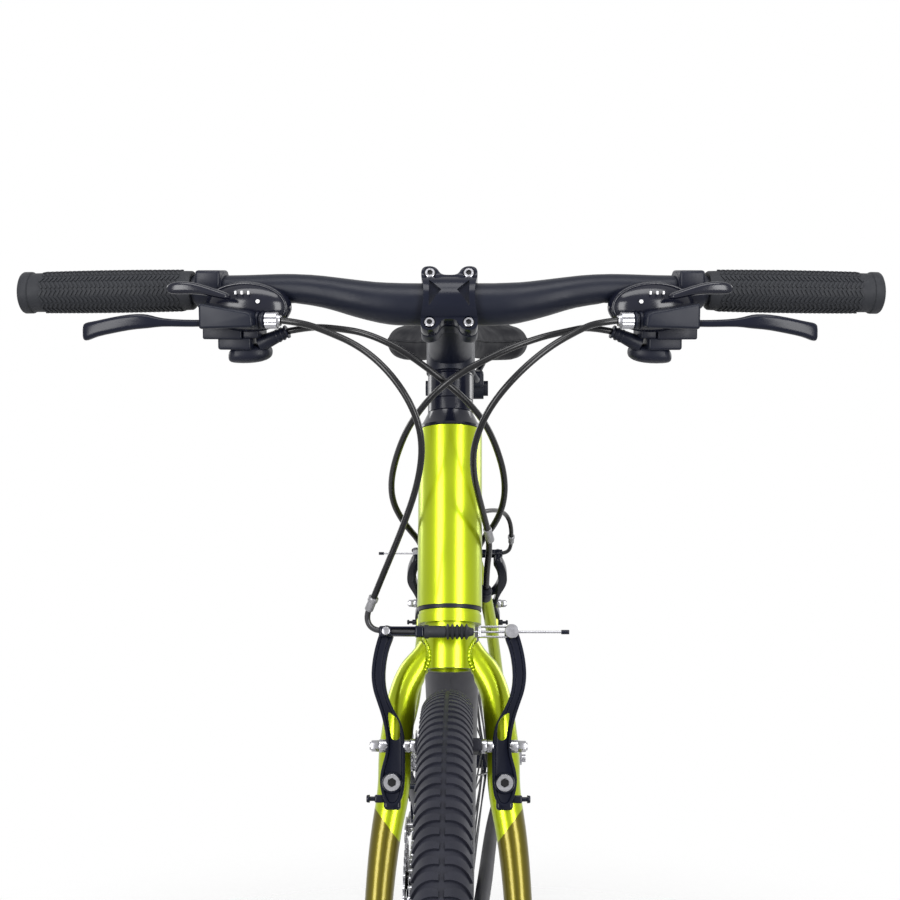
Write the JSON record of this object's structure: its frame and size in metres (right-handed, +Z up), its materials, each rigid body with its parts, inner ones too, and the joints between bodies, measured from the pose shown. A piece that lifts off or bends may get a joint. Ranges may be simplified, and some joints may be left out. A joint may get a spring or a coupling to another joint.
{
  "type": "hybrid bicycle",
  "caption": "Hybrid bicycle with a lime metallic frame, flat riser bar, combined brake and shift levers, rim brakes and derailleur gears.",
  "frame": {"origin": "on the floor, midway between the two axles, in the wheels' plane", "axes": "+Z up; -Y is the way the bicycle faces; +X is the rider's left, so the chain is at -X"},
  "size_m": [0.6704, 1.7599, 0.9813],
  "materials": {
    "lime_paint": "metallic gloss",
    "charcoal_paint": "satin",
    "satin_black": "satin anodised",
    "forged_black": "forged, black",
    "grip_rubber": "moulded matte",
    "pad_rubber": "matte",
    "tyre_rubber": "matte",
    "saddle_cover": "fine grain",
    "black_plastic": "moulded",
    "cable_sheath": "gloss",
    "rim_black": "black anodised",
    "bright_steel": "bright",
    "spoke_steel": "black"
  },
  "bodies": {
    "frame": {"head_tube": "lime_paint", "top_tube": "lime_paint", "down_tube": "charcoal_paint", "seat_tube": "charcoal_paint", "seat_clamp": "satin_black", "headset_races": "satin_black", "chain_stays": "charcoal_paint", "seat_stays": "lime_paint", "rear_axle": "bright_steel", "derailleur_mounts": "forged_black", "chain": "bright_steel", "frame_cables": "cable_sheath", "rear_gear_loop": "cable_sheath"},
    "steering": {"fork_steerer": "lime_paint", "fork_blades": "lime_paint", "headset_spacers": "satin_black", "stem": "satin_black", "stem_faceplate": "satin_black", "steering_bolts": "bright_steel", "handlebar": "satin_black", "grips": "grip_rubber", "shifter_bodies": "black_plastic", "lever_brackets": "forged_black", "barrel_adjusters": "bright_steel", "front_brake_housing": "cable_sheath", "crossing_housings": "cable_sheath", "front_axle": "bright_steel", "front_noodle": "black_plastic"},
    "front_wheel": {"front_tyre": "tyre_rubber", "front_rim": "rim_black", "front_hub": "rim_black", "front_spokes": "spoke_steel"},
    "rear_wheel": {"rear_tyre": "tyre_rubber", "rear_rim": "rim_black", "rear_hub": "rim_black", "rear_spokes": "spoke_steel"},
    "crankset": {"cranks": "forged_black", "chainrings": "bright_steel", "bottom_bracket_spindle": "bright_steel"},
    "freewheel": {"freewheel_cogs": "bright_steel"},
    "right_pedal_body": {"right_pedal": "black_plastic"},
    "left_pedal_body": {"left_pedal": "black_plastic"},
    "left_lever": {"left_brake_lever": "forged_black"},
    "right_lever": {"right_brake_lever": "forged_black"},
    "left_trigger": {"left_shift_trigger": "black_plastic"},
    "right_trigger": {"right_shift_trigger": "black_plastic"},
    "left_thumb": {"left_thumb_lever": "black_plastic"},
    "right_thumb": {"right_thumb_lever": "black_plastic"},
    "front_arm_left": {"front_brake_arm_left": "forged_black", "front_brake_pad_left": "pad_rubber"},
    "front_arm_right": {"front_brake_arm_right": "forged_black", "front_brake_pad_right": "pad_rubber"},
    "rear_arm_right": {"rear_brake_arm_right": "forged_black"},
    "rear_arm_left": {"rear_brake_arm_left": "forged_black"},
    "front_changer": {"front_derailleur_cage": "bright_steel"},
    "rear_changer": {"rear_derailleur_arm": "forged_black"},
    "tension_cage": {"rear_derailleur_cage": "bright_steel"},
    "upper_jockey": {"upper_jockey_wheel": "black_plastic"},
    "lower_jockey": {"lower_jockey_wheel": "black_plastic"},
    "saddle_post": {"seatpost": "satin_black", "saddle": "saddle_cover"}
  },
  "joints": [
    {"name": "steering", "type": "hinge", "parent": "frame", "child": "steering", "pos_m": [0, -0.48962, 0.32937], "axis": [0, 0.3256, 0.9455], "range_deg": [-45, 45], "deforming": ["crossing_housings"]},
    {"name": "front_wheel_spin", "type": "hinge", "parent": "steering", "child": "front_wheel", "pos_m": [0, -0.535, 0.345], "axis": [1, 0, 0], "continuous": true},
    {"name": "rear_wheel_spin", "type": "hinge", "parent": "frame", "child": "rear_wheel", "pos_m": [0, 0.535, 0.345], "axis": [1, 0, 0], "continuous": true},
    {"name": "crank_spin", "type": "hinge", "parent": "frame", "child": "crankset", "pos_m": [0, 0.09477, 0.28], "axis": [1, 0, 0], "continuous": true, "deforming": ["chain"]},
    {"name": "freewheel_spin", "type": "hinge", "parent": "frame", "child": "freewheel", "pos_m": [0, 0.535, 0.345], "axis": [1, 0, 0], "continuous": true, "deforming": ["chain"]},
    {"name": "right_pedal_spin", "type": "hinge", "parent": "crankset", "child": "right_pedal_body", "pos_m": [0, -0.06285, 0.34368], "axis": [1, 0, 0], "continuous": true},
    {"name": "left_pedal_spin", "type": "hinge", "parent": "crankset", "child": "left_pedal_body", "pos_m": [0, 0.25239, 0.21632], "axis": [1, 0, 0], "continuous": true},
    {"name": "left_brake_lever", "type": "hinge", "parent": "steering", "child": "left_lever", "pos_m": [0.17474, -0.38153, 0.94176], "axis": [0, 0, 1], "range_deg": [0, 18], "stiffness_Nm_per_rad": 2, "deforming": ["frame_cables"]},
    {"name": "left_shift_trigger", "type": "hinge", "parent": "steering", "child": "left_trigger", "pos_m": [0.16809, -0.39068, 0.96326], "axis": [0, 0, 1], "range_deg": [0, 12], "stiffness_Nm_per_rad": 0.5},
    {"name": "left_thumb_lever", "type": "hinge", "parent": "steering", "child": "left_thumb", "pos_m": [0.1661, -0.35252, 0.91186], "axis": [0, 0, 1], "range_deg": [0, 25], "stiffness_Nm_per_rad": 0.5},
    {"name": "right_brake_lever", "type": "hinge", "parent": "steering", "child": "right_lever", "pos_m": [-0.17474, -0.38153, 0.94176], "axis": [0, 0, -1], "range_deg": [0, 18], "stiffness_Nm_per_rad": 2, "deforming": ["front_noodle", "front_brake_housing"]},
    {"name": "right_shift_trigger", "type": "hinge", "parent": "steering", "child": "right_trigger", "pos_m": [-0.16809, -0.39068, 0.96326], "axis": [0, 0, -1], "range_deg": [0, 12], "stiffness_Nm_per_rad": 0.5},
    {"name": "right_thumb_lever", "type": "hinge", "parent": "steering", "child": "right_thumb", "pos_m": [-0.1661, -0.35252, 0.91186], "axis": [0, 0, -1], "range_deg": [0, 25], "stiffness_Nm_per_rad": 0.5},
    {"name": "front_brake_left", "type": "hinge", "parent": "steering", "child": "front_arm_left", "pos_m": [0.0415, -0.42431, 0.60196], "axis": [0, -0.9455, 0.3256], "range_deg": [0, 4.5], "deforming": ["front_noodle"]},
    {"name": "front_brake_right", "type": "hinge", "parent": "steering", "child": "front_arm_right", "pos_m": [-0.0415, -0.42431, 0.60196], "axis": [0, 0.9455, -0.3256], "range_deg": [0, 4.5], "deforming": ["front_noodle"]},
    {"name": "rear_brake_right", "type": "hinge", "parent": "frame", "child": "rear_arm_right", "pos_m": [-0.0415, 0.36407, 0.56716], "axis": [0, 0.7301, 0.6833], "range_deg": [0, 4.5], "deforming": ["frame_cables"]},
    {"name": "rear_brake_left", "type": "hinge", "parent": "frame", "child": "rear_arm_left", "pos_m": [0.0415, 0.36407, 0.56716], "axis": [0, -0.7301, -0.6833], "range_deg": [0, 4.5], "deforming": ["frame_cables"]},
    {"name": "front_shift", "type": "slide", "parent": "frame", "child": "front_changer", "axis": [1, 0, 0], "range_m": [-0.007, 0.007], "deforming": ["chain", "frame_cables"]},
    {"name": "rear_shift", "type": "slide", "parent": "frame", "child": "rear_changer", "axis": [1, 0, 0], "range_m": [-0.015, 0.015], "deforming": ["chain", "rear_gear_loop"]},
    {"name": "cage_pivot", "type": "hinge", "parent": "rear_changer", "child": "tension_cage", "pos_m": [0, 0.548, 0.257], "axis": [1, 0, 0], "range_deg": [-25, 25], "stiffness_Nm_per_rad": 2, "deforming": ["chain"]},
    {"name": "upper_jockey_spin", "type": "hinge", "parent": "tension_cage", "child": "upper_jockey", "pos_m": [0, 0.548, 0.257], "axis": [1, 0, 0], "continuous": true, "deforming": ["chain"]},
    {"name": "lower_jockey_spin", "type": "hinge", "parent": "tension_cage", "child": "lower_jockey", "pos_m": [0, 0.52559, 0.20568], "axis": [1, 0, 0], "continuous": true, "deforming": ["chain"]},
    {"name": "saddle_height", "type": "slide", "parent": "frame", "child": "saddle_post", "axis": [0, 0.2924, 0.9563], "range_m": [-0.06, 0.03]}
  ],
  "couplings": [
    {"joint": "freewheel_spin", "follows": "crank_spin", "ratio": 1.9},
    {"joint": "upper_jockey_spin", "follows": "crank_spin", "ratio": -3.4545},
    {"joint": "lower_jockey_spin", "follows": "crank_spin", "ratio": 3.4545},
    {"joint": "front_brake_left", "follows": "right_brake_lever", "ratio": 0.25},
    {"joint": "front_brake_right", "follows": "right_brake_lever", "ratio": 0.25},
    {"joint": "rear_brake_left", "follows": "left_brake_lever", "ratio": 0.25},
    {"joint": "rear_brake_right", "follows": "left_brake_lever", "ratio": 0.25}
  ]
}
